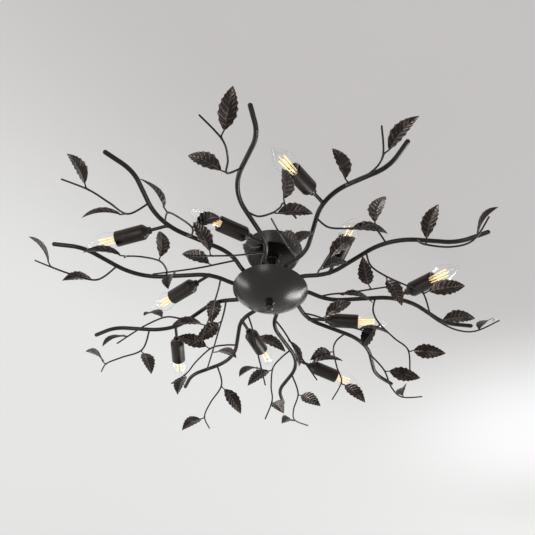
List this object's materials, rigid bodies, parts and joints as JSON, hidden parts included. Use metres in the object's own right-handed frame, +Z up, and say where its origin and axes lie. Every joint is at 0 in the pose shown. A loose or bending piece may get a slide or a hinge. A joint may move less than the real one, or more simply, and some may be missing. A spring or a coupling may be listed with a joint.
{
  "type": "branch chandelier",
  "caption": "Ceiling chandelier of bent tube branches on a small hub, with wire twigs, pressed metal leaves and candle lamps holding clear filament bulbs.",
  "frame": {"origin": "middle of the ceiling bracket's top face, on the ceiling plane and the stem's axis", "axes": "+Z up to the ceiling, so the lamp hangs in -Z; the bracket's slots lie along X"},
  "size_m": [0.8949, 0.8901, 0.2046],
  "materials": {
    "bronze_steel": "satin",
    "leaf_steel": "satin",
    "gloss_cover": "gloss",
    "zinc_steel": "zinc plated",
    "terminal_plastic": "matt",
    "holder_plastic": "matt",
    "nickel_cap": "bright",
    "bulb_glass": "clear"
  },
  "bodies": {
    "fixture": {"ceiling_bracket": "zinc_steel", "terminal_block": "terminal_plastic", "stem_tube": "bronze_steel", "stem_nipple": "zinc_steel", "stem_locknuts": "zinc_steel", "hub_drum": "bronze_steel", "hub_lid": "bronze_steel", "hub_base": "bronze_steel", "arm_1": "bronze_steel", "arm_2": "bronze_steel", "arm_3": "bronze_steel", "arm_4": "bronze_steel", "arm_5": "bronze_steel", "arm_6": "bronze_steel", "arm_7": "bronze_steel", "arm_8": "bronze_steel", "arm_9": "bronze_steel", "arm_10": "bronze_steel", "twigs_1": "bronze_steel", "twigs_2": "bronze_steel", "twigs_3": "bronze_steel", "twigs_4": "bronze_steel", "twigs_5": "bronze_steel", "twigs_6": "bronze_steel", "twigs_7": "bronze_steel", "twigs_8": "bronze_steel", "twigs_9": "bronze_steel", "twigs_10": "bronze_steel", "lamp_cups": "bronze_steel", "lampholders": "holder_plastic", "candle_sleeves": "bronze_steel", "outer_leaves": "leaf_steel", "middle_leaves": "leaf_steel", "inner_leaves": "leaf_steel"},
    "canopy_cup": {"canopy": "bronze_steel", "canopy_collar": "bronze_steel", "collar_screw": "zinc_steel"},
    "cover": {"dome_cover": "gloss_cover", "finial_washer": "gloss_cover"},
    "knob": {"finial_knob": "gloss_cover"},
    "cap_1": {"bulb_cap_1": "nickel_cap"},
    "glass_1": {"bulb_glass_1": "bulb_glass"},
    "cap_2": {"bulb_cap_2": "nickel_cap"},
    "glass_2": {"bulb_glass_2": "bulb_glass"},
    "cap_3": {"bulb_cap_3": "nickel_cap"},
    "glass_3": {"bulb_glass_3": "bulb_glass"},
    "cap_4": {"bulb_cap_4": "nickel_cap"},
    "glass_4": {"bulb_glass_4": "bulb_glass"},
    "cap_5": {"bulb_cap_5": "nickel_cap"},
    "glass_5": {"bulb_glass_5": "bulb_glass"},
    "cap_6": {"bulb_cap_6": "nickel_cap"},
    "glass_6": {"bulb_glass_6": "bulb_glass"},
    "cap_7": {"bulb_cap_7": "nickel_cap"},
    "glass_7": {"bulb_glass_7": "bulb_glass"},
    "cap_8": {"bulb_cap_8": "nickel_cap"},
    "glass_8": {"bulb_glass_8": "bulb_glass"},
    "cap_9": {"bulb_cap_9": "nickel_cap"},
    "glass_9": {"bulb_glass_9": "bulb_glass"},
    "cap_10": {"bulb_cap_10": "nickel_cap"},
    "glass_10": {"bulb_glass_10": "bulb_glass"}
  },
  "joints": [
    {"name": "canopy_slide", "type": "slide", "parent": "fixture", "child": "canopy_cup", "axis": [0, 0, -1], "range_m": [0, 0.05]},
    {"name": "cover_drop", "type": "slide", "parent": "fixture", "child": "cover", "axis": [0, 0, -1], "range_m": [0, 0.008]},
    {"name": "knob_turn", "type": "hinge", "parent": "cover", "child": "knob", "pos_m": [0, 0, -0.137], "axis": [0, 0, -1], "range_deg": [0, 2885]},
    {"name": "bulb_1_travel", "type": "slide", "parent": "fixture", "child": "cap_1", "axis": [-0.8595, -0.506, -0.0719], "range_m": [0, 0.00705]},
    {"name": "bulb_1_turn", "type": "hinge", "parent": "cap_1", "child": "glass_1", "pos_m": [-0.09552, -0.16526, -0.10483], "axis": [-0.8595, -0.506, -0.0719], "range_deg": [0, 905]},
    {"name": "bulb_2_travel", "type": "slide", "parent": "fixture", "child": "cap_2", "axis": [-0.5817, -0.7988, -0.1535], "range_m": [0, 0.00705]},
    {"name": "bulb_2_turn", "type": "hinge", "parent": "cap_2", "child": "glass_2", "pos_m": [0.02111, -0.29792, -0.11259], "axis": [-0.5817, -0.7988, -0.1535], "range_deg": [0, 905]},
    {"name": "bulb_3_travel", "type": "slide", "parent": "fixture", "child": "cap_3", "axis": [0.1815, -0.9808, -0.0719], "range_m": [0, 0.00705]},
    {"name": "bulb_3_turn", "type": "hinge", "parent": "cap_3", "child": "glass_3", "pos_m": [0.12263, -0.14628, -0.10483], "axis": [0.1815, -0.9808, -0.0719], "range_deg": [0, 905]},
    {"name": "bulb_4_travel", "type": "slide", "parent": "fixture", "child": "cap_4", "axis": [0.58, -0.8, -0.1535], "range_m": [0, 0.00705]},
    {"name": "bulb_4_turn", "type": "hinge", "parent": "cap_4", "child": "glass_4", "pos_m": [0.28986, -0.07198, -0.11259], "axis": [0.58, -0.8, -0.1535], "range_deg": [0, 905]},
    {"name": "bulb_5_travel", "type": "slide", "parent": "fixture", "child": "cap_5", "axis": [0.991, -0.1131, -0.0719], "range_m": [0, 0.00705]},
    {"name": "bulb_5_turn", "type": "hinge", "parent": "cap_5", "child": "glass_5", "pos_m": [0.17574, 0.0745, -0.10483], "axis": [0.991, -0.1131, -0.0719], "range_deg": [0, 905]},
    {"name": "bulb_6_travel", "type": "slide", "parent": "fixture", "child": "cap_6", "axis": [0.9346, 0.3207, -0.1535], "range_m": [0, 0.00705]},
    {"name": "bulb_6_turn", "type": "hinge", "parent": "cap_6", "child": "glass_6", "pos_m": [0.15359, 0.25615, -0.11259], "axis": [0.9346, 0.3207, -0.1535], "range_deg": [0, 905]},
    {"name": "bulb_7_travel", "type": "slide", "parent": "fixture", "child": "cap_7", "axis": [0.4452, 0.8925, -0.0719], "range_m": [0, 0.00705]},
    {"name": "bulb_7_turn", "type": "hinge", "parent": "cap_7", "child": "glass_7", "pos_m": [-0.0099, 0.19062, -0.10483], "axis": [0.4452, 0.8925, -0.0719], "range_deg": [0, 905]},
    {"name": "bulb_8_travel", "type": "slide", "parent": "fixture", "child": "cap_8", "axis": [0.0355, 0.9875, -0.1535], "range_m": [0, 0.00705]},
    {"name": "bulb_8_turn", "type": "hinge", "parent": "cap_8", "child": "glass_8", "pos_m": [-0.1841, 0.23518, -0.11259], "axis": [0.0355, 0.9875, -0.1535], "range_deg": [0, 905]},
    {"name": "bulb_9_travel", "type": "slide", "parent": "fixture", "child": "cap_9", "axis": [-0.7469, 0.6611, -0.0719], "range_m": [0, 0.00705]},
    {"name": "bulb_9_turn", "type": "hinge", "parent": "cap_9", "child": "glass_9", "pos_m": [-0.18669, 0.03977, -0.10483], "axis": [-0.7469, 0.6611, -0.0719], "range_deg": [0, 905]},
    {"name": "bulb_10_travel", "type": "slide", "parent": "fixture", "child": "cap_10", "axis": [-0.9447, 0.2899, -0.1535], "range_m": [0, 0.00705]},
    {"name": "bulb_10_turn", "type": "hinge", "parent": "cap_10", "child": "glass_10", "pos_m": [-0.27481, -0.11695, -0.11259], "axis": [-0.9447, 0.2899, -0.1535], "range_deg": [0, 905]}
  ],
  "couplings": [
    {"joint": "knob_turn", "follows": "cover_drop", "rad_per_m": 6283.2},
    {"joint": "bulb_1_turn", "follows": "bulb_1_travel", "rad_per_m": 2228.1},
    {"joint": "bulb_2_turn", "follows": "bulb_2_travel", "rad_per_m": 2228.1},
    {"joint": "bulb_3_turn", "follows": "bulb_3_travel", "rad_per_m": 2228.1},
    {"joint": "bulb_4_turn", "follows": "bulb_4_travel", "rad_per_m": 2228.1},
    {"joint": "bulb_5_turn", "follows": "bulb_5_travel", "rad_per_m": 2228.1},
    {"joint": "bulb_6_turn", "follows": "bulb_6_travel", "rad_per_m": 2228.1},
    {"joint": "bulb_7_turn", "follows": "bulb_7_travel", "rad_per_m": 2228.1},
    {"joint": "bulb_8_turn", "follows": "bulb_8_travel", "rad_per_m": 2228.1},
    {"joint": "bulb_9_turn", "follows": "bulb_9_travel", "rad_per_m": 2228.1},
    {"joint": "bulb_10_turn", "follows": "bulb_10_travel", "rad_per_m": 2228.1}
  ]
}
